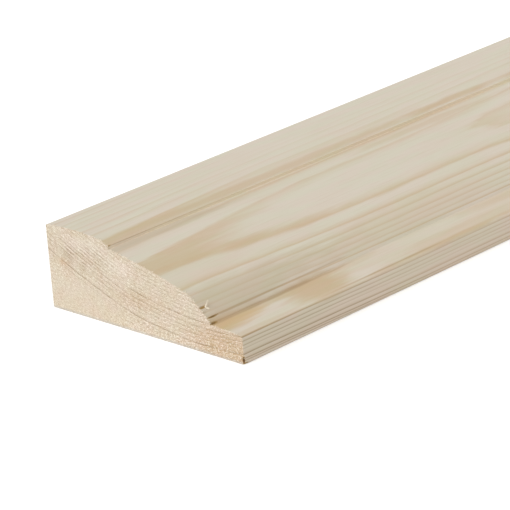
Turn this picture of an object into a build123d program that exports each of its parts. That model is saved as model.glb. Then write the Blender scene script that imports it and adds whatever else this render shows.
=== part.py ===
"""Ovolo architrave: one length of planed softwood moulding.

It lies on its flat back face. X runs along the length, the thick outer edge is at +Y, the thin
edge that goes next to the door opening is at -Y, and the moulded face looks up.
"""
import os
from math import cos, radians, sin, sqrt

from build123d import *

# overall size, millimetres
LENGTH = 2100.0
WIDTH = 44.0
THICKNESS = 15.0

# crown: a broad, nearly flat shoulder along the thick edge that rolls over into the quirk
CROWN_RADIUS = 55.0
CROWN_RISE = 6.5  # slope at the thick edge, degrees
CROWN_FALL = 5.5  # slope where the roll starts, degrees
ROLL_RADIUS = 8.3
LIP_SLOPE = 28.0  # slope of the roll at the lip of the quirk, degrees

# quirk: the small upright step between crown and ovolo
QUIRK_DEPTH = 0.55

# ovolo: a long flat sweep that runs tangent into a tighter nose
SWEEP_RADIUS = 95.0
NOSE_RADIUS = 14.0
FOOT_SLOPE = 52.0  # slope of the nose where it meets the land, degrees

# land: the flat strip along the thin edge, falling a little towards it
LAND_WIDTH = 6.9
LAND_FALL = 0.5
THIN_EDGE = 4.8

# eased arrises
THIN_ARRIS = 0.4  # between the land and the thin edge
OTHER_ARRIS = 0.2  # the other three long arrises

back_y = WIDTH / 2
front_y = -WIDTH / 2


def heading(slope):
    """Direction of travel across the moulded face towards the thin edge, falling at a slope in degrees."""
    return Vector(-cos(radians(slope)), -sin(radians(slope)))


def outward(slope):
    """Direction square to the moulded face where it falls at a slope in degrees."""
    return Vector(-sin(radians(slope)), cos(radians(slope)))


# crown: its arc starts at the thick edge and passes its top at the full thickness
crown_start = THICKNESS - CROWN_RADIUS * (1 - cos(radians(CROWN_RISE)))

# nose: it ends on the land
foot = Vector(front_y + LAND_WIDTH, THIN_EDGE + LAND_FALL)
nose_centre = foot - outward(FOOT_SLOPE) * NOSE_RADIUS

with BuildPart() as architrave:
    with BuildSketch(Plane.YZ) as section:
        with BuildLine():
            thick_edge = Line((back_y, 0), (back_y, crown_start))
            crown = JernArc(thick_edge @ 1, heading(-CROWN_RISE), CROWN_RADIUS, CROWN_RISE + CROWN_FALL)
            roll = JernArc(crown @ 1, crown % 1, ROLL_RADIUS, LIP_SLOPE - CROWN_FALL)
            quirk = Line(roll @ 1, roll @ 1 - Vector(0, QUIRK_DEPTH))

            # the sweep's centre is one radius from the quirk, and in line with the nose's centre
            # and the point where the two arcs meet
            reach = nose_centre - quirk @ 1
            centre_gap = SWEEP_RADIUS - NOSE_RADIUS
            along = (SWEEP_RADIUS**2 - centre_gap**2 + reach.length**2) / (2 * reach.length)
            aside = sqrt(SWEEP_RADIUS**2 - along**2)
            towards = reach.normalized()
            sweep_centre = quirk @ 1 + towards * along + Vector(-towards.Y, towards.X) * aside
            nose_start = nose_centre + (nose_centre - sweep_centre).normalized() * NOSE_RADIUS
            RadiusArc(quirk @ 1, nose_start, -SWEEP_RADIUS)
            RadiusArc(nose_start, foot, -NOSE_RADIUS)

            Line(foot, (front_y, THIN_EDGE))
            Line((front_y, THIN_EDGE), (front_y, 0))
            Line((front_y, 0), (back_y, 0))
        make_face()
        thin_arris = section.vertices().group_by(Axis.X)[0].sort_by(Axis.Y)[-1]
        fillet(thin_arris, THIN_ARRIS)
        thick_arris = section.vertices().group_by(Axis.X)[-1].sort_by(Axis.Y)[-1]
        back_arrises = section.vertices().group_by(Axis.Y)[0]
        fillet([thick_arris] + back_arrises, OTHER_ARRIS)
    extrude(amount=LENGTH / 2, both=True)

architrave.part.label = "architrave"

os.makedirs("parts", exist_ok=True)
export_step(architrave.part, "parts/architrave.step")
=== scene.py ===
"""A length of planed pine ovolo architrave, lying on its back, seen from its freshly sawn end."""
from math import asin, atan, atan2, ceil, cos, degrees, radians, sin, sqrt, tau

import bpy
import numpy as np
from mathutils import Euler, Matrix, Vector


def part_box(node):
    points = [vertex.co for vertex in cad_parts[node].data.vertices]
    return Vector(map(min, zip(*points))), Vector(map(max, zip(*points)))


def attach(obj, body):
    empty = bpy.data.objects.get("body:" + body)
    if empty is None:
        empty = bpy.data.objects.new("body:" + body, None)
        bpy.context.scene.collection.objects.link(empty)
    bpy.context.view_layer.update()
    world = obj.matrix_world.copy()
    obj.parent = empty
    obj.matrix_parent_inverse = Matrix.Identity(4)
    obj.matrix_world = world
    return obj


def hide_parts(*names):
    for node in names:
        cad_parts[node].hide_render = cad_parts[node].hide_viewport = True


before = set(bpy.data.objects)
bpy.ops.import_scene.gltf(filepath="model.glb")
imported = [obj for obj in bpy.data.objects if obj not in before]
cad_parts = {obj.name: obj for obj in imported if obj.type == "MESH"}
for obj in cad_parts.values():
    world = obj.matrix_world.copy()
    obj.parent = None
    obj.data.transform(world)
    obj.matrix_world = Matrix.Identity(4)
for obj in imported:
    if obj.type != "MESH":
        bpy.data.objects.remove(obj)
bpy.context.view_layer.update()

# THE MOULDING
# One stick of slow-grown pine, run through a four-sider that planes the back and both edges and
# cuts the rounded crown, the quirk, the ovolo and the land in one pass, then cross-cut square.
# Sizes are those of the section in millimetres, slopes are in degrees falling towards the thin edge.
MM = 0.001
low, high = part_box("architrave")
NEAR, FAR = round(low[0] / MM, 3), round(high[0] / MM, 3)
FRONT, BACK = round(low[1] / MM, 3), round(high[1] / MM, 3)
THICKNESS = 15.0
CROWN_RADIUS, CROWN_RISE, CROWN_FALL = 55.0, 6.5, 5.5
ROLL_RADIUS, LIP_SLOPE, QUIRK_DEPTH = 8.3, 28.0, 0.55
SWEEP_RADIUS, NOSE_RADIUS, FOOT_SLOPE = 95.0, 14.0, 52.0
LAND_WIDTH, LAND_FALL, THIN_EDGE = 6.9, 0.5, 4.8
THIN_ARRIS, OTHER_ARRIS = 0.4, 0.2

# how far apart the outline's points are on its arcs, and how many there are on its straight runs
FACE_STEP, ROLL_STEP, NOSE_STEP, ARRIS_STEP = 0.4, 0.2, 0.12, 0.1
QUIRK_POINTS, LAND_POINTS, EDGE_POINTS = 4, 28, 50


def outward(slope):
    """Direction square to the face, as (y, z), where it falls at a slope in degrees."""
    return np.array([-sin(radians(slope)), cos(radians(slope))])


def arc(centre, radius, start, end, step):
    """Points of an arc from one slope to another, about a step apart, both ends included."""
    count = max(2, ceil(radius * radians(abs(end - start)) / step))
    return [centre + radius * outward(s) for s in np.linspace(start, end, count + 1)]


def straight(start, end, count):
    """Points of a line from one place to another, both ends included."""
    return [start + (end - start) * t for t in np.linspace(0, 1, count)]


def length_along(points):
    """How far along a line of points each one lies."""
    return np.concatenate([[0], np.cumsum(np.linalg.norm(np.diff(points, axis=0), axis=1))])


crown_centre = np.array([BACK - CROWN_RADIUS * sin(radians(CROWN_RISE)), THICKNESS - CROWN_RADIUS])
roll_centre = crown_centre + (CROWN_RADIUS - ROLL_RADIUS) * outward(CROWN_FALL)
lip = roll_centre + ROLL_RADIUS * outward(LIP_SLOPE)
quirk = lip - (0, QUIRK_DEPTH)
foot = np.array([FRONT + LAND_WIDTH, THIN_EDGE + LAND_FALL])
nose_centre = foot - NOSE_RADIUS * outward(FOOT_SLOPE)

# the sweep passes the quirk and runs tangent into the nose
reach = nose_centre - quirk
gap = np.linalg.norm(reach)
along = (SWEEP_RADIUS**2 - (SWEEP_RADIUS - NOSE_RADIUS) ** 2 + gap**2) / (2 * gap)
aside = sqrt(SWEEP_RADIUS**2 - along**2)
sweep_centre = quirk + (reach * along + np.array([-reach[1], reach[0]]) * aside) / gap
sweep_start = degrees(atan2(sweep_centre[0] - quirk[0], quirk[1] - sweep_centre[1]))
nose_start = degrees(atan2(sweep_centre[0] - nose_centre[0], nose_centre[1] - sweep_centre[1]))

# arrises
land_slope = degrees(atan(LAND_FALL / LAND_WIDTH))
thin_centre = np.array([FRONT + THIN_ARRIS, 0.0])
thin_centre[1] = THIN_EDGE + THIN_ARRIS * LAND_FALL / LAND_WIDTH - THIN_ARRIS / cos(radians(land_slope))
thick_centre = np.array([BACK - OTHER_ARRIS, 0.0])
inset = thick_centre[0] - crown_centre[0]
thick_centre[1] = crown_centre[1] + sqrt((CROWN_RADIUS - OTHER_ARRIS) ** 2 - inset**2)
crown_start = -degrees(asin(inset / (CROWN_RADIUS - OTHER_ARRIS)))

moulded_run = (
    arc(thick_centre, OTHER_ARRIS, -90, crown_start, ARRIS_STEP)
    + arc(crown_centre, CROWN_RADIUS, crown_start, CROWN_FALL, FACE_STEP)[1:]
    + arc(roll_centre, ROLL_RADIUS, CROWN_FALL, LIP_SLOPE, ROLL_STEP)[1:]
    + straight(lip, quirk, QUIRK_POINTS)[1:]
    + arc(sweep_centre, SWEEP_RADIUS, sweep_start, nose_start, FACE_STEP)[1:]
    + arc(nose_centre, NOSE_RADIUS, nose_start, FOOT_SLOPE, NOSE_STEP)[1:]
    + straight(foot, thin_centre + THIN_ARRIS * outward(land_slope), LAND_POINTS)[1:]
    + arc(thin_centre, THIN_ARRIS, land_slope, 90, ARRIS_STEP)[1:]
)
columns = len(moulded_run)

# the back has as many points as the moulded face, so that each end can be filled between the two
back_thick = arc(np.array([BACK - OTHER_ARRIS, OTHER_ARRIS]), OTHER_ARRIS, -90, -180, ARRIS_STEP)
back_thin = arc(np.array([FRONT + OTHER_ARRIS, OTHER_ARRIS]), OTHER_ARRIS, 180, 90, ARRIS_STEP)
inner = length_along(moulded_run)[len(back_thick) - 1:columns - len(back_thin) + 1]
shares = (inner - inner[0]) / (inner[-1] - inner[0])
flat_back = [back_thick[-1] + (back_thin[0] - back_thick[-1]) * t for t in shares[1:-1]]
back_run = back_thick + flat_back + back_thin
thin_run = straight(moulded_run[-1], back_run[-1], EDGE_POINTS)[1:-1]
thick_run = straight(back_run[0], moulded_run[0], EDGE_POINTS)[1:-1]
outline = np.array(moulded_run + thin_run + back_run[::-1] + thick_run)


class Wire:
    """A socket of a node tree. Sums on it add Math nodes, and add() adds any other node."""

    def __init__(self, socket):
        self.socket = socket
        self.tree = socket.id_data

    def add(self, kind, settings=None, sockets=None, out=0):
        """Adds a node, sets its settings, then fills or links its sockets, and gives one of its outputs."""
        node = self.tree.nodes.new(kind)
        for name, value in (settings or {}).items():
            if name == "stops":
                ramp = node.color_ramp.elements
                while len(ramp) < len(value):
                    ramp.new(1.0)
                for stop, (place, grey) in zip(ramp, value):
                    stop.position = place
                    stop.color = (grey, grey, grey, 1.0)
            else:
                setattr(node, name, value)
        for name, value in (sockets or {}).items():
            for one in value if isinstance(value, list) else [value]:
                if isinstance(one, Wire):
                    self.tree.links.new(one.socket, node.inputs[name])
                else:
                    node.inputs[name].default_value = one
        return Wire(node.outputs[out])

    def output(self, name):
        return Wire(self.socket.node.outputs[name])

    def math(self, operation, *others):
        return self.add("ShaderNodeMath", {"operation": operation}, dict(enumerate((self,) + others)))

    def vector(self, operation, *others):
        out = "Value" if operation == "LENGTH" else "Vector"
        sockets = dict(enumerate((self,) + others))
        return self.add("ShaderNodeVectorMath", {"operation": operation}, sockets, out)

    def xyz(self):
        split = self.add("ShaderNodeSeparateXYZ", {}, {0: self})
        return split, split.output("Y"), split.output("Z")

    def combine(self, x, y, z):
        return self.add("ShaderNodeCombineXYZ", {}, {0: x, 1: y, 2: z})

    def step(self, start, end):
        """0 before start, 1 after end, smooth between."""
        return self.add("ShaderNodeMapRange", {"interpolation_type": "SMOOTHSTEP"}, {
            "Value": self, "From Min": start, "From Max": end})

    def __add__(self, other):
        return self.math("ADD", other)

    __radd__ = __add__

    def __mul__(self, other):
        return self.math("MULTIPLY", other)

    __rmul__ = __mul__

    def __sub__(self, other):
        return self.math("SUBTRACT", other)

    def __rsub__(self, other):
        return self * -1.0 + other

    def __truediv__(self, other):
        return self.math("DIVIDE", other)

    def __gt__(self, other):
        return self.math("GREATER_THAN", other)

    def __lt__(self, other):
        return self.math("LESS_THAN", other)


def colour(red, green, blue):
    """A colour as the eye reads it, 0 to 255 a channel, in the linear values that shaders take."""
    return tuple(((v / 255 + 0.055) / 1.055) ** 2.4 for v in (red, green, blue)) + (1.0,)


def blend(factor, first, second):
    """A mix of two colours, given as colours or wires."""
    return factor.add("ShaderNodeMix", {"data_type": "RGBA"}, {0: factor, 6: first, 7: second}, 2)


def tinged(tint, hue, first, second):
    """The colour times a faint cast that drifts from one to another."""
    settings = {"data_type": "RGBA", "blend_type": "MULTIPLY"}
    return hue.add("ShaderNodeMix", settings, {0: 1.0, 6: tint, 7: blend(hue, first, second)}, 2)


def new_material(name):
    """A new material, the place on it in millimetres from the near cut, and its shader node."""
    material = bpy.data.materials.new(name)
    material.use_nodes = True
    shader = material.node_tree.nodes["Principled BSDF"]
    place = Wire(material.node_tree.nodes.new("ShaderNodeTexCoord").outputs["Object"])
    return material, place.vector("MULTIPLY_ADD", (1 / MM,) * 3, (-NEAR, 0.0, 0.0)), shader


def feed(shader, **inputs):
    """Sets or links the shader's sockets, named with _ for a space."""
    for name, value in inputs.items():
        socket = shader.inputs[name.replace("_", " ")]
        if isinstance(value, Wire):
            value.tree.links.new(value.socket, socket)
        else:
            socket.default_value = value


def mottle(spot, along, across, detail=2.0, shift=0.0):
    """Noise drawn out along the grain, with blots of a given length and width in millimetres."""
    place = spot.vector("MULTIPLY_ADD", (1 / along, 1 / across, 1 / across), (shift, shift, shift))
    return place.add("ShaderNodeTexNoise", {}, {"Vector": place, "Scale": 1.0, "Detail": detail})


# growth rings: the stick was cut beside the heart of a small log, which would lie above the ovolo.
# Towards the thick edge the rings flatten out and widen. Each year's wood darkens slowly outwards and
# ends at a line: its radius next to the near cut, and how dark it is on a planed face and on a sawn end.
PITH_Y, PITH_Z = -15.8, 56.36
FLATTENING, WIDENING = 84.0, 0.0011
FIRST_YEAR, YEARS_SPAN, YEAR = 45.0, 11.0, 0.72
YEARS = (
    (45.60, 0.75, 0.70), (46.14, 0.92, 0.75), (46.86, 0.90, 0.82), (47.50, 0.85, 0.84), (48.25, 0.85, 0.84),
    (48.88, 0.80, 0.85), (49.54, 0.80, 0.85), (50.22, 0.95, 0.85), (51.15, 1.00, 0.95), (52.14, 0.97, 0.90),
    (52.87, 0.92, 0.88), (53.55, 0.92, 0.88), (54.12, 0.85, 0.82), (55.05, 1.00, 0.96), (55.70, 0.92, 0.70),
)

# the heart drops slowly along the stick and sways, which draws the pointed figure on the ovolo. The rings
# bulge beneath the ovolo, and waver everywhere: by how much, over what length and over what width
DROP, DROP_LENGTH = 2.5, 2600.0
SWAY, SWAY_LENGTH, SWAY_START = 0.08, 70.0, 21.0
BULGE, BULGE_WIDTH, BULGE_TURN = 0.15, 30.0, -1.2
BULGE_MIDDLE, BULGE_REACH = -1.0, 9.0
WAVERS = ((0.2, 55.0, 8.0), (0.13, 16.0, 1.6), (0.1, 5.0, 0.8))


def ring_radius(spot):
    """How far from the heart a place grew."""
    x, y, z = spot.xyz()
    drop = (x * (tau / DROP_LENGTH)).math("SINE") * DROP
    drop += ((x - SWAY_START) * (tau / SWAY_LENGTH)).math("SINE") * SWAY
    away = y - PITH_Y
    to_thick = away.math("MAXIMUM", 0.0)
    down = z - PITH_Z + drop
    level = away * away / ((to_thick / FLATTENING).math("POWER", 2.0) + 1)
    radius = (down * down + level).math("SQRT") * (1 - to_thick * WIDENING)
    off_middle = (y - BULGE_MIDDLE) / BULGE_REACH
    fade = (off_middle * off_middle * off_middle * off_middle * -1).math("EXPONENT")
    radius -= ((y - BULGE_TURN) * (tau / BULGE_WIDTH)).math("SINE") * fade * BULGE
    for amount, along, across in WAVERS:
        radius += (mottle(spot, along, across) - 0.5) * amount
    return radius


def late_wood(radius, on_cut):
    """How far into a year's dark late wood a radius lies, 0 to 1, on a planed face or on a sawn end."""
    # how soon a line ends, as a share of the span, and how dark the palest of the years not listed is
    fade, palest = (0.006, 0.2) if on_cut else (0.011, 0.55)
    stops = [(0.0, 0.0)]
    for end, on_face, on_end in YEARS:
        place = (end - FIRST_YEAR) / YEARS_SPAN
        stops += [(place, on_end if on_cut else on_face), (place + fade, 0.0)]
    share = (radius - FIRST_YEAR) / YEARS_SPAN
    listed = share.add("ShaderNodeValToRGB", {"stops": stops}, {0: share})
    age = radius / YEAR
    vigour = age.add("ShaderNodeTexWhiteNoise", {"noise_dimensions": "1D"}, {"W": age.math("FLOOR")})
    beyond = (share < 0) + (share > (YEARS[-1][0] - FIRST_YEAR) / YEARS_SPAN)
    return listed + age.math("FRACT") * (vigour * 0.4 + palest) * beyond


# resin-brown patches on the moulded face: middle and reach in millimetres from the near cut, and strength
STAINS = (
    ((0.0, -16.0, 5.2), (10.5, 4.2, 1.5), 0.90),  # on the land, next to the cut
    ((21.5, -17.8, 5.0), (9.0, 6.0, 1.6), 0.88),  # across the land, further along
    ((4.0, -21.2, 4.86), (15.0, 0.9, 0.5), 0.35),  # along the land's arris
    ((50.0, -21.4, 4.86), (30.0, 0.8, 0.9), 0.75),
    ((56.0, -20.3, 4.9), (26.0, 2.4, 0.9), 0.40),
    ((15.0, -16.0, 5.25), (29.0, 1.4, 0.8), 0.50),  # in the corner of the land
    ((35.0, 8.25, 14.0), (75.0, 1.15, 1.0), 0.60),  # along the lip of the quirk
    ((4.0, 8.9, 14.2), (34.0, 1.1, 1.0), 0.15),
    ((86.0, 8.3, 14.0), (18.0, 1.0, 1.0), 0.60),
    ((4.0, -1.9, 11.7), (20.0, 3.0, 2.0), 0.60),  # on the ovolo, where the figure starts
    ((12.0, -3.6, 11.4), (9.0, 0.9, 2.0), 0.50),  # its lower arm
    ((20.0, -4.8, 11.0), (9.0, 1.5, 2.0), 0.60),
    ((31.0, -6.2, 10.6), (9.0, 1.4, 2.0), 0.45),
    ((14.0, 0.1, 12.1), (10.0, 1.0, 2.0), 0.45),  # its upper arm
    ((23.0, 1.2, 12.3), (10.0, 1.0, 2.0), 0.35),
    ((76.0, 5.4, 12.9), (26.0, 1.1, 1.0), 0.45),  # where that arm runs into the quirk
    ((70.0, -16.4, 5.2), (13.0, 1.9, 0.8), 0.45),  # in the corner of the land, far along
    ((4.0, -6.0, 10.6), (20.0, 4.5, 3.0), 0.15),  # below the figure
    ((48.0, -12.9, 7.8), (32.0, 4.6, 4.2), 0.25),  # on the nose, further along
)
# grey patches on the moulded face; the two below the quirk are painted shade
GREY_PATCHES_AND_SHADE = (
    ((9.0, 6.6, 13.1), (24.0, 1.3, 1.0), 0.55),  # painted shade below the quirk
    ((12.0, 6.1, 13.0), (24.0, 0.9, 0.8), 0.35),
    ((0.0, -12.9, 7.8), (40.0, 4.6, 4.2), 0.58),  # on the nose
    ((0.0, -22.0, 2.4), (30.0, 0.6, 5.0), 0.15),  # down the thin edge
)
DARK_LINES_AND_SHADE = (
    ((6.0, foot[0] - 0.3, foot[1]), (30.0, 0.6, 0.45), 0.80),  # in the corner of the land: dirt and late wood, with painted shade
    ((0.0, FRONT + 0.1, THIN_EDGE - 0.1), (18.0, 0.28, 0.2), 0.55),  # on the arris of the land
    ((37.0, FRONT + 0.7, 4.85), (16.0, 0.3, 0.3), 0.50),  # beside that arris, further along
    ((8.0, -14.42, 6.1), (32.0, 0.22, 0.26), 0.55),  # along the nose
)
RESIN = ((4.0, -16.9, 5.2), (8.5, 2.3, 1.2))  # yellow, on the land next to the cut


def patch(spot, middle, extent, fray):
    """1 in the middle of a patch, 0 at its reach, with a frayed edge."""
    distance = spot.vector("SUBTRACT", middle).vector("DIVIDE", extent).vector("LENGTH")
    return 1 - (distance + (fray - 0.5) * 0.75).step(0.3, 1.1)


def darkened_in_hollows(spot, tint):
    """The colour with the chips' hollows on it, ochre where they are shallow and dark brown where deep, as
    dirt and painted shade.
    """
    bruise = spot.add("ShaderNodeAttribute", {"attribute_name": "bruise"}, out="Fac")
    tint = blend(bruise.step(0.0, 0.55), tint, colour(162, 132, 82))
    return blend(bruise.step(0.5, 1.0), tint, colour(92, 66, 48))


# planed faces: cream early wood, tan late wood, fine streaks of fibre along the length
EARLY_WOOD, LATE_WOOD = colour(212, 204, 188), colour(195, 169, 129)
EDGE_WOOD, EDGE_LINE = colour(221, 203, 183), colour(144, 121, 88)
TAN, GREY, DARK = colour(196, 173, 138), colour(187, 173, 146), colour(162, 137, 102)
RESIN_YELLOW = colour(203, 172, 122)
CLOUD, STREAK = colour(205, 190, 168), colour(194, 174, 147)
LIT_STEP, LIP_SHADE = colour(236, 222, 196), colour(160, 130, 88)
ROSY, GREENISH = (1.018, 0.99, 0.995, 1.0), (0.99, 1.01, 0.98, 1.0)
planed, spot, shader = new_material("planed_pine")
x, y, z = spot.xyz()
on_crown = y.step(9.0, 10.4)
on_land = y.step(FRONT + 0.25, FRONT + 0.5) * (1 - y.step(foot[0] - 0.3, foot[0] + 0.2))
on_land *= z.step(THIN_EDGE - 0.6, THIN_EDGE - 0.3)
on_thin_edge = 1 - y.step(FRONT + 0.05, FRONT + 0.25)
on_step = y.step(quirk[0] - 0.2, quirk[0] - 0.03) * (1 - y.step(quirk[0] + 0.03, quirk[0] + 0.06))
under_lip = (1 - (y - quirk[0]).math("ABSOLUTE").step(0.03, 0.06)) * z.step(lip[1] - 0.24, lip[1] - 0.12)
fading = 1 - on_crown * (x.step(5, 40) * 0.35 + 0.3) - y.step(14, 18) * 0.25 - on_land * 0.8
fading -= y.step(1, 3) * (1 - y.step(6.0, 7.0)) * 0.35
rings = late_wood(ring_radius(spot), False)
late = rings.math("POWER", 3.0) * fading
edge_lines = rings.math("POWER", 5.0) * on_thin_edge * (1.15 - x.step(8, 50) * 0.85)
streaks = mottle(spot, 9, 0.3, detail=4.0)
clouds = mottle(spot, 22, 4, shift=7.0)
fray = mottle(spot, 7, 1.0, shift=3.0)
hue = mottle(spot, 9, 2.4, detail=1.0, shift=17.0).step(0.36, 0.64)
tint = blend(late, EARLY_WOOD, LATE_WOOD)
tint = blend(on_thin_edge * 0.4, tint, EDGE_WOOD)
tint = blend(edge_lines, tint, EDGE_LINE)
for patches, shade in ((STAINS, TAN), (GREY_PATCHES_AND_SHADE, GREY), (DARK_LINES_AND_SHADE, DARK)):
    for middle, extent, strength in patches:
        tint = blend(patch(spot, middle, extent, fray) * strength, tint, shade)
tint = blend(patch(spot, *RESIN, fray) * 0.5, tint, RESIN_YELLOW)
tint = blend((clouds - 0.38).math("MAXIMUM", 0.0) * 0.5, tint, CLOUD)
tint = blend((streaks - 0.5).math("MAXIMUM", 0.0) * 0.9, tint, STREAK)
tint = blend(on_step * (x.step(3, 12) * 0.25 + 0.5), tint, LIT_STEP)
tint = blend(under_lip * (0.3 - x.step(5, 40) * 0.25), tint, LIP_SHADE)
tint = darkened_in_hollows(spot, tinged(tint, hue, ROSY, GREENISH))
bump = spot.add("ShaderNodeBump", {}, {
    "Strength": 0.25, "Distance": 0.03 * MM, "Height": streaks + late * 0.5})
feed(shader, Base_Color=tint, Normal=bump, Roughness=streaks * 0.15 + 0.55, Specular_IOR_Level=0.3)

# sawn ends: the fibres stand open, pale and rough, and the rings read as fine broken brown lines.
# Places on them are middle and reach, and how strong the brown is
CLOSE_YEARS, THIN_YEAR = ((0.0, 13.5, 10.6), (4.0, 9.0, 3.4)), 0.55  # where years are thin, and how thin
HIDDEN_YEAR = 51.15  # this year's line runs out among them
BROWN_SPOTS = (
    ((0.0, -18.5, 2.0), (4.0, 11.0, 4.6), 0.62),  # under the land
    ((0.0, -19.0, 0.9), (4.0, 6.0, 1.8), 0.15),
    ((0.0, 0.8, 5.8), (4.0, 7.0, 2.2), 0.30),  # under the ovolo
)
PALE_SPOTS = (((0.0, 12.8, 12.4), (4.0, 6.5, 2.0)), ((0.0, 5.5, 10.6), (4.0, 4.5, 1.8)))
RUSTY_SPOT = ((0.0, 18.6, 8.8), (4.0, 1.9, 0.9))
SMOOTH_CORNER = ((0.0, 14.0, 3.2), (4.0, 11.0, 4.0))
FIBRE_ROW, FIBRE_WIDTH = 0.7, 0.16
SAWN_WOOD, BLOT = colour(215, 202, 182), colour(204, 182, 150)
PALE, BROWN, RUST = colour(232, 220, 206), colour(196, 161, 121), colour(203, 154, 104)
TUFT, PORE, GLINT = colour(242, 231, 213), colour(176, 146, 112), colour(254, 247, 234)
YEAR_LINE, FOOT_SHADE = colour(134, 106, 70), colour(182, 182, 180)
PINKISH, SALLOW = (1.01, 0.995, 1.01, 1.0), (0.995, 1.005, 0.995, 1.0)
sawn, spot, shader = new_material("sawn_pine")
x, y, z = spot.xyz()
fray = mottle(spot, 4, 1.2, shift=3.0)
radius = ring_radius(spot)
fibres = spot.combine(y / FIBRE_ROW, radius / FIBRE_WIDTH, 0.0)  # they stand in rows that follow the years
fibres = fibres.add("ShaderNodeTexNoise", {}, {"Vector": fibres, "Scale": 1.0, "Detail": 1.0})
specks = mottle(spot, 1.0, 0.15, detail=1.0) * 0.7 + fibres * 0.45 - 0.075
tufts = mottle(spot, 1.0, 0.34, detail=2.0, shift=5.0)
veil = mottle(spot, 9.0, 2.6, shift=2.0).step(0.36, 0.62)
blots = mottle(spot, 9.0, 3.2, shift=11.0)
hue = mottle(spot, 9.0, 3.0, detail=0.0, shift=17.0).step(0.36, 0.64)
season = (radius / THIN_YEAR).math("FRACT")
close_years = season.step(0.45, 0.8) * (1 - season.step(0.88, 1.0))
close_years *= patch(spot, *CLOSE_YEARS, fray) * 0.55
at_hidden = 1 - (radius - HIDDEN_YEAR).math("ABSOLUTE").step(0.2, 0.5)
late = late_wood(radius, True) * (1 - y.step(1, 8) * at_hidden * 0.35)
late = late.math("POWER", 8.0) * 0.7 + late.math("POWER", 3.0) * 0.4
lines = late.math("MAXIMUM", close_years) * (veil * 0.6 + 0.45) * (1.5 - specks)
rough_part = 1 - patch(spot, *SMOOTH_CORNER, fray) * 0.35
rough_part += (1 - z.step(1.6, 3.2)) * (1 - y.step(4, 10)) * 0.45  # coarser along the foot
tint = blend((blots - 0.42).math("MAXIMUM", 0.0) * 1.3, SAWN_WOOD, BLOT)
for middle, extent in PALE_SPOTS:
    tint = blend(patch(spot, middle, extent, fray) * 0.6, tint, PALE)
for middle, extent, strength in BROWN_SPOTS:
    tint = blend(patch(spot, middle, extent, fray) * strength, tint, BROWN)
tint = blend(patch(spot, *RUSTY_SPOT, fray) * 0.3, tint, RUST)
tint = blend(tufts.step(0.50, 0.66) * rough_part * 0.5, tint, TUFT)
tint = blend((1 - specks).step(0.50, 0.66) * rough_part * 0.62, tint, PORE)
tint = blend(specks.step(0.54, 0.66) * rough_part * 0.7, tint, GLINT)
tint = blend(lines, tint, YEAR_LINE)
tint = tinged(tint, hue, PINKISH, SALLOW)
# painted shade along the foot of the sawn end, where it meets the floor
tint = blend((1 - z.step(0.1, 0.6)) * 0.45, tint, FOOT_SHADE)
tint = darkened_in_hollows(spot, tint)
bump = spot.add("ShaderNodeBump", {}, {
    "Strength": 0.5, "Distance": 0.12 * MM, "Height": tufts + specks * 0.5})
feed(shader, Base_Color=tint, Normal=bump, Roughness=0.85, Specular_IOR_Level=0.15)

# chips along the near cut, where fibres broke out: middle and reach from the near cut, how far the wood
# is gone and which way, and how dark the hollow is painted, with dirt and painted shade
CHIPS = (
    ((0.75, -12.95, 7.52), (1.15, 0.30, 0.36), (0.03, 0.12, -0.14), 0.60),  # under the lifted splinter
    ((0.3, -13.72, 6.85), (1.1, 0.26, 0.36), (0.03, 0.08, -0.09), 0.12),
    ((1.4, -14.42, 6.10), (1.5, 0.14, 0.20), (0.0, 0.16, -0.14), 0.75),  # a slit along the nose
    ((0.75, foot[0], foot[1]), (1.2, 0.40, 0.35), (0.05, 0.05, -0.12), 0.78),  # in the corner of the land
    ((0.3, quirk[0], 13.80), (0.9, 0.20, 0.28), (0.05, 0.05, 0.0), 0.45),  # in the quirk
    ((0.0, FRONT, 0.7), (0.40, 0.45, 1.1), (0.16, 0.16, 0.0), 1.0),  # at the foot of the thin edge
    ((0.4, FRONT, 0.1), (0.9, 0.40, 0.40), (0.0, 0.05, 0.06), 0.55),
)


def new_tree(name, inputs):
    """A geometry tree, the sockets of its inputs by name, and their values by identifier."""
    tree = bpy.data.node_groups.new(name, "GeometryNodeTree")
    tree.interface.new_socket("Geometry", in_out="OUTPUT", socket_type="NodeSocketGeometry")
    values = {}
    for label, kind, value in inputs:
        values[tree.interface.new_socket(label, in_out="INPUT", socket_type=kind).identifier] = value
    entry = tree.nodes.new("NodeGroupInput")
    return tree, {label: Wire(entry.outputs[label]) for label, _, _ in inputs}, values


# the stick itself: its outline swept along the length, with the stations crowded at the two cuts
STATIONS, CROWDING = 105, 3.85
SAW_ROUGHNESS, TOOTH_MARK = 0.07, 0.6  # depth and size of the marks that the saw leaves
WELD, CREASE = 0.002, 28.0  # points this near are joined, and edges that turn by more degrees stay sharp
sweep, given, values = new_tree("swept_section", (
    ("Section", "NodeSocketGeometry", None), ("Length", "NodeSocketFloat", (FAR - NEAR) * MM),
    ("Stations", "NodeSocketInt", STATIONS), ("Crowding", "NodeSocketFloat", CROWDING),
    ("Columns", "NodeSocketInt", columns), ("Rows", "NodeSocketInt", EDGE_POINTS),
    ("Roughness of the cuts", "NodeSocketFloat", SAW_ROUGHNESS * MM),
    ("Planed", "NodeSocketMaterial", planed), ("Sawn", "NodeSocketMaterial", sawn),
))
section = given["Section"]
points = section.add("GeometryNodeAttributeDomainSize", {"component": "MESH"}, {0: section}, "Point Count")
index = section.add("GeometryNodeInputIndex")
position = section.add("GeometryNodeInputPosition")


def on_outline(number):
    """The place of one of the outline's points."""
    return section.add("GeometryNodeSampleIndex", {"data_type": "FLOAT_VECTOR", "domain": "POINT"}, {
        "Geometry": section, "Value": position, "Index": number})


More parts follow.
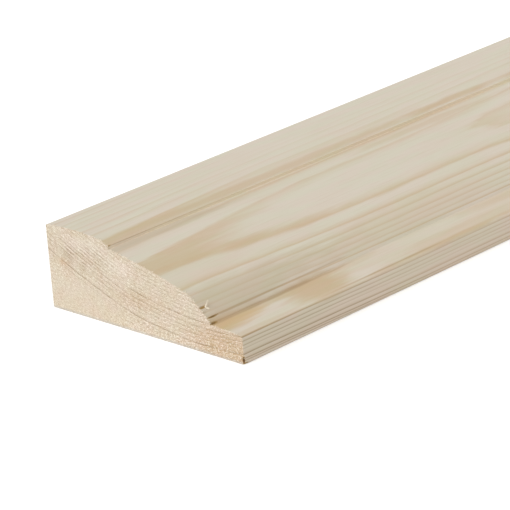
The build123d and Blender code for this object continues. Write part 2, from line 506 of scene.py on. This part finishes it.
def grid(across, along):
    """A sheet of vertices and, for each, its number across and along."""
    sheet = section.add("GeometryNodeMeshGrid", {}, {"Vertices X": across, "Vertices Y": along})
    first = (index / along).math("FLOOR")
    return sheet, first, index - first * along


def moved(shape, **sockets):
    """The shape with its vertices set to a Position, or moved by an Offset."""
    return shape.add("GeometryNodeSetPosition", {}, {"Geometry": shape} | sockets)


def kept(shape, name, value, domain):
    """The shape with a number stored on it under a name."""
    return shape.add("GeometryNodeStoreNamedAttribute", {"data_type": "FLOAT", "domain": domain}, {
        "Geometry": shape, "Name": name, "Value": value})


# sleeve: moulded face, edges and back. Each face's corners keep their station and their place around
sheet, station, around = grid(given["Stations"], points + 1)
for name, number in (("station", station), ("around", around)):
    number = number.add("GeometryNodeFieldOnDomain", {"data_type": "FLOAT", "domain": "POINT"}, {
        "Value": number})
    sheet = kept(sheet, name, number, "CORNER")
share = station / (given["Stations"] - 1) * 2 - 1
ease = (share * given["Crowding"]).math("TANH") / given["Crowding"].math("TANH")
_, side, rise = on_outline(around.math("MODULO", points)).xyz()
sleeve = moved(sheet, Position=ease.combine(ease * given["Length"] * 0.5, side, rise))
sleeve = sleeve.add("GeometryNodeFlipFaces", {}, {0: sleeve})
sleeve = sleeve.add("GeometryNodeSetMaterial", {}, {"Geometry": sleeve, "Material": given["Planed"]})

# ends: one sheet from the back up to the moulded face at each cut
parts = [sleeve]
for cut in (-0.5, 0.5):
    sheet, column, row = grid(given["Columns"], given["Rows"])
    height = row / (given["Rows"] - 1)
    top = on_outline(column)
    bottom = on_outline(points - given["Rows"] + 1 - column)
    between = top.add("ShaderNodeMix", {"data_type": "VECTOR"}, {0: height, 4: bottom, 5: top}, 1)
    _, side, rise = between.xyz()
    end = moved(sheet, Position=height.combine(given["Length"] * cut, side, rise))
    if cut > 0:
        end = end.add("GeometryNodeFlipFaces", {}, {0: end})
    parts.append(end.add("GeometryNodeSetMaterial", {}, {"Geometry": end, "Material": given["Sawn"]}))
whole = section.add("GeometryNodeJoinGeometry", {}, {0: parts})
whole = whole.add("GeometryNodeMergeByDistance", {}, {"Geometry": whole, "Distance": WELD * MM})

# the saw leaves both cuts a little rough, and chips are broken out of the near one
px, _, _ = position.xyz()
cut_side = px.math("SIGN")
at_cut = px.math("ABSOLUTE") > given["Length"] * 0.5 - WELD * MM / 2
tooth = section.add("ShaderNodeTexNoise", {}, {
    "Vector": position, "Scale": 1 / (TOOTH_MARK * MM), "Detail": 2.0})
rough = cut_side * tooth * given["Roughness of the cuts"] * at_cut * -1
whole = moved(whole, Offset=rough.combine(rough, 0.0, 0.0))
hollows = []
for middle, extent, _, _ in CHIPS:
    centre = (Vector(middle) + Vector((NEAR, 0, 0))) * MM
    away = position.vector("SUBTRACT", tuple(centre)).vector("DIVIDE", tuple(Vector(extent) * MM))
    hollows.append(1 - away.vector("LENGTH").step(0.25, 1.0))
# how dark each hollow is painted, with dirt and painted shade, kept on the mesh for the materials
hollow_dirt_and_shade = hollows[0] * CHIPS[0][3]
for hollow, (_, _, _, dark) in zip(hollows[1:], CHIPS[1:]):
    hollow_dirt_and_shade = hollow_dirt_and_shade.math("MAXIMUM", hollow * dark)
whole = kept(whole, "bruise", hollow_dirt_and_shade, "POINT")
for hollow, (_, _, gone, _) in zip(hollows, CHIPS):
    whole = moved(whole, Offset=hollow.combine(*(hollow * (way * MM) for way in gone)))
angle = whole.add("GeometryNodeInputMeshEdgeAngle")
whole = whole.add("GeometryNodeSetShadeSmooth", {"domain": "FACE"}, {0: whole, "Shade Smooth": True})
whole = whole.add("GeometryNodeSetShadeSmooth", {"domain": "EDGE"}, {
    0: whole, "Selection": angle > radians(CREASE), "Shade Smooth": False})
whole = whole.add("GeometryNodeRealizeInstances", {}, {0: whole})
sweep.links.new(whole.socket, sweep.nodes.new("NodeGroupOutput").inputs[0])


def made_plain(name, mesh, tree, values):
    """Runs a node tree on a mesh and gives a new object that holds the result as a plain mesh."""
    rough = bpy.data.objects.new(name + "_rough", mesh)
    bpy.context.scene.collection.objects.link(rough)
    modifier = rough.modifiers.new("nodes", "NODES")
    modifier.node_group = tree
    for identifier, value in values.items():
        if value is not None:
            modifier[identifier] = value
    result = bpy.data.meshes.new_from_object(rough.evaluated_get(bpy.context.evaluated_depsgraph_get()))
    bpy.data.objects.remove(rough)
    result.name = name
    if result.materials[0] is None:  # the rough mesh leaves an empty slot
        result.materials.pop(index=0)
    piece = bpy.data.objects.new(name, result)
    bpy.context.scene.collection.objects.link(piece)
    return piece


loop = bpy.data.meshes.new("section")
count = len(outline)
corners = [(0.0, a * MM, b * MM) for a, b in outline]
loop.from_pydata(corners, [(i, (i + 1) % count) for i in range(count)], [])
moulding = made_plain("moulding", loop, sweep, values)

# a map for baking, in pixels, with most of them where the wood is seen from near: the moulded face and
# thin edge in strips that end at a distance from the near cut and have a height, the back and thick edge
# in two more, then the two ends side by side at so many pixels a millimetre
MAP, GAP = 1024, 8
FRONT_STRIPS = ((150, 280), (800, 150), (1450, 150), (2100, 150))
BACK_STRIPS = ((1050, 54), (2100, 54))
NEAR_END, FAR_END = 8.0, 5.0
SLACK = 0.01  # room for rounding, in millimetres
mesh = moulding.data


def numbers(items, name, kind):
    """One number for each item."""
    values = np.empty(len(items), kind)
    items.foreach_get(name, values)
    return values


sides = numbers(mesh.polygons, "loop_total", np.int32)
first = numbers(mesh.polygons, "loop_start", np.int32)
finish = numbers(mesh.polygons, "material_index", np.int32)
on_end = np.repeat(finish, sides) == list(mesh.materials).index(sawn)
around = numbers(mesh.attributes["around"].data, "value", np.float32)
share = numbers(mesh.attributes["station"].data, "value", np.float32) / (STATIONS - 1) * 2 - 1
along = (np.tanh(share * CROWDING) / np.tanh(CROWDING) + 1) * (FAR - NEAR) / 2
outline_length = length_along(np.vstack([outline, outline[:1]]))
over = np.interp(around, np.arange(count + 1), outline_length)
turn = columns + EDGE_POINTS - 2  # where the outline comes to the back
face_start = np.repeat(np.minimum.reduceat(along, first), sides)
in_front = np.repeat(np.minimum.reduceat(around, first), sides) < turn
spots = np.zeros((len(along), 2))
level = GAP / 2
for front, strips in ((True, FRONT_STRIPS), (False, BACK_STRIPS)):
    top, bottom = (0, outline_length[turn]) if front else (outline_length[turn], outline_length[-1])
    start = 0
    for end, height in strips:
        here = (face_start > start - SLACK) & (face_start < end - SLACK)
        here &= ~on_end & (in_front == front)
        left, right = along[here].min(), along[here].max()
        spots[here, 0] = GAP / 2 + (along[here] - left) / (right - left) * (MAP - GAP)
        spots[here, 1] = level + (bottom - over[here]) / (bottom - top) * height
        level += height + GAP
        start = end
places = np.array([mesh.vertices[i].co for i in numbers(mesh.loops, "vertex_index", np.int32)]) / MM
left = GAP / 2
for near, scale in ((True, NEAR_END), (False, FAR_END)):
    here = on_end & ((places[:, 0] < 0) == near)
    spots[here, 0] = left + (BACK - places[here, 1] if near else places[here, 1] - FRONT) * scale
    spots[here, 1] = level + places[here, 2] * scale
    left += (BACK - FRONT) * scale + GAP
mesh.uv_layers.new(name="OFBake").data.foreach_set("uv", (spots / MAP).ravel())
for name in ("station", "around"):
    mesh.attributes.remove(mesh.attributes[name])
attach(moulding, "root")
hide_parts("architrave")

# TORN FIBRES
# Where the saw came out of the wood it tore fibres along the arris of the near cut: short pale slivers
# lying on the moulded face, a splinter that stands up on the nose and a curl at the quirk. They are
# pine like the rest, and still held at their roots.
SLIVER_RUNS = ((0.2, 12.0, 14), (12.0, 19.0, 26), (19.0, 33.0, 14), (33.0, 40.5, 22), (40.5, 50.6, 16))
SLIVER_SEED = 11
SLIVER_SIZE, SLIVER_LEAN, SLIVER_LIFT = (0.2, 0.8), (-1.0, 1.0), (0.0, 0.09)
SLIVER_THICK, SLIVER_ROOT = (0.03, 0.06), (0.02, 0.10)
SPLINTER_ROOT, SPLINTER_TIP = np.array((1.40, -13.0, 7.40)), np.array((1.80, -13.15, 8.52))
SPLINTER_TAIL, SPLINTER_BEND = np.array((1.55, -13.58, 7.02)), np.array((-0.16, -0.10, 0.0))
SPLINTER_FIBRES, TIP_THICK, TAIL_THICK = 6, 0.14, 0.08
CURL_ROOT, CURL_TIP = np.array((3.3, 8.24, 14.08)), np.array((4.75, 9.35, 14.52))
CURL_RISE, CURL_THICK = 0.16, 0.05
FIBRE_SIDES = 5
face_run = np.array(moulded_run + thin_run)
face_length = length_along(face_run)


def on_face(x, length, lift):
    """A place on the moulded face, from the near cut and the thick edge, at a height above it."""
    before, after = (
        np.array([np.interp(length + d, face_length, face_run[:, i]) for i in (0, 1)]) for d in (-0.05, 0.05)
    )
    run = (after - before) / np.linalg.norm(after - before)
    y, z = (before + after) / 2 + lift * np.array([run[1], -run[0]])
    return x, y, z


strands = []  # each a list of places and thicknesses, in millimetres
draw = np.random.default_rng(SLIVER_SEED)
for length in np.concatenate([draw.uniform(*run) for run in SLIVER_RUNS]):
    size = draw.uniform(*SLIVER_SIZE)
    lean = draw.uniform(*SLIVER_LEAN)
    lift = draw.uniform(*SLIVER_LIFT)
    thick = draw.uniform(*SLIVER_THICK)
    root = draw.uniform(*SLIVER_ROOT)
    sliver = []
    for t in (0.0, 0.35, 0.7, 1.0):
        place = on_face(root + size * t * (1 - 0.7 * abs(lean)), length + size * t * lean, lift * t * t)
        sliver.append((*place, thick * (1.1 - t)))
    strands.append(sliver)
for n in range(SPLINTER_FIBRES):
    start = SPLINTER_ROOT + (0.09 * n - 0.22, 0.03 * n - 0.08, 0.0)
    tip = SPLINTER_TIP + (0.08 * n - 0.20, 0.02 * n, -0.10 * abs(n - 2.5))
    tail = SPLINTER_TAIL + (0.05 * n - 0.12, 0.0, 0.0)
    for end, thick in ((tip, TIP_THICK), (tail, TAIL_THICK)):
        splinter = []
        for t in (0.0, 0.25, 0.5, 0.75, 1.0):
            place = start + (end - start) * t + SPLINTER_BEND * t * (1 - t) * 2
            splinter.append((*place, thick * (1.1 - t)))
        strands.append(splinter)
curl = []
for t in (0.0, 0.3, 0.6, 1.0):
    place = CURL_ROOT + (CURL_TIP - CURL_ROOT) * t + (0, 0, CURL_RISE * t * (1 - t))
    curl.append((*place, CURL_THICK * (1.2 - t)))
strands.append(curl)

torn, spot, shader = new_material("torn_pine")
tint = blend(mottle(spot, 0.6, 0.15), colour(250, 242, 226), colour(228, 212, 184))
feed(shader, Base_Color=tint, Roughness=0.8, Specular_IOR_Level=0.15)

spun, given, values = new_tree("spun_fibres", (
    ("Strands", "NodeSocketGeometry", None), ("Sides", "NodeSocketInt", FIBRE_SIDES),
    ("Torn", "NodeSocketMaterial", torn),
))
strand = given["Strands"].add("GeometryNodeMeshToCurve", {}, {"Mesh": given["Strands"]})
thick = strand.add("GeometryNodeInputNamedAttribute", {"data_type": "FLOAT"}, {"Name": "thick"})
ring = strand.add("GeometryNodeCurvePrimitiveCircle", {"mode": "RADIUS"}, {
    "Resolution": given["Sides"], "Radius": 1.0})
fibre = strand.add("GeometryNodeCurveToMesh", {}, {
    "Curve": strand, "Profile Curve": ring, "Scale": thick, "Fill Caps": True})
fibre = fibre.add("GeometryNodeRealizeInstances", {}, {0: fibre})
fibre = fibre.add("GeometryNodeSetMaterial", {}, {"Geometry": fibre, "Material": given["Torn"]})
spun.links.new(fibre.socket, spun.nodes.new("NodeGroupOutput").inputs[0])

places, joins, thicknesses = [], [], []
for line in strands:
    joins += [(len(places) + i, len(places) + i + 1) for i in range(len(line) - 1)]
    for x, y, z, thick in line:
        x = max(x, thick)
        y = min(max(y, FRONT + thick), BACK - thick)
        places.append(((NEAR + x) * MM, y * MM, min(z, THICKNESS - thick) * MM))
        thicknesses.append(thick * MM)
threads = bpy.data.meshes.new("threads")
threads.from_pydata(places, joins, [])
threads.attributes.new("thick", "FLOAT", "POINT").data.foreach_set("value", thicknesses)
torn_fibres = made_plain("torn_fibres", threads, spun, values)
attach(torn_fibres, "root")

# FLOOR, LIGHT AND CAMERA
# A plain pale floor that runs out to white, one broad soft lamp from beyond the cut end, and an even sky.
# The camera looks down on the near end, from the thin edge's side. Sizes are in metres, turns in degrees.
FLOOR_SIZE, FLOOR_GLOW = 12.0, 0.25
SKY_LIGHT, SKY_SEEN = 0.6, 1.0
LAMP_STRENGTH, LAMP_SPREAD, LAMP_HEADING = 1.65, 60.0, (0.68, 0.1, -0.73)
WHITE, PAPER = (1.0, 1.0, 1.0, 1.0), (0.9, 0.9, 0.9, 1.0)
EYE = (-1.362698, -0.342476, 0.187728)
TILT, ROLL, HEADING = 69.2116, 4.1616, -46.2602


def seen(path):
    """1 for a ray from the camera, or off gloss or through glass, from a Light Path node."""
    mirrored = path.math("MAXIMUM", path.output("Is Glossy Ray"))
    return mirrored.math("MAXIMUM", path.output("Is Transmission Ray"))


bpy.ops.mesh.primitive_plane_add(size=FLOOR_SIZE)
floor = bpy.context.object
floor.name = "floor"
paper, spot, shader = new_material("floor_paper")
glow = seen(spot.add("ShaderNodeLightPath", out="Is Camera Ray")) * FLOOR_GLOW
feed(shader, Base_Color=PAPER, Roughness=0.9, Specular_IOR_Level=0.0)
feed(shader, Emission_Color=WHITE, Emission_Strength=glow)
floor.data.materials.append(paper)

world = bpy.data.worlds.new("studio")
bpy.context.scene.world = world
world.use_nodes = True
path = Wire(world.node_tree.nodes.new("ShaderNodeLightPath").outputs["Is Camera Ray"])
sky = seen(path) * (SKY_SEEN - SKY_LIGHT) + SKY_LIGHT
feed(world.node_tree.nodes["Background"], Color=WHITE, Strength=sky)

light = bpy.data.lights.new("key", "SUN")
light.energy = LAMP_STRENGTH
light.angle = radians(LAMP_SPREAD)
lamp = bpy.data.objects.new("key", light)
lamp.rotation_euler = Vector(LAMP_HEADING).to_track_quat("-Z", "Y").to_euler()
bpy.context.scene.collection.objects.link(lamp)

bpy.context.scene.view_settings.view_transform = "Standard"
lens = bpy.data.cameras.new("camera")
lens.sensor_width = 36.0
lens.lens = 218.68
lens.clip_start = 0.01
camera = bpy.data.objects.new("camera", lens)
facing = Euler((radians(TILT), radians(ROLL), radians(HEADING)))
camera.matrix_world = Matrix.Translation(EYE) @ facing.to_matrix().to_4x4()
bpy.context.scene.collection.objects.link(camera)
bpy.context.scene.camera = camera
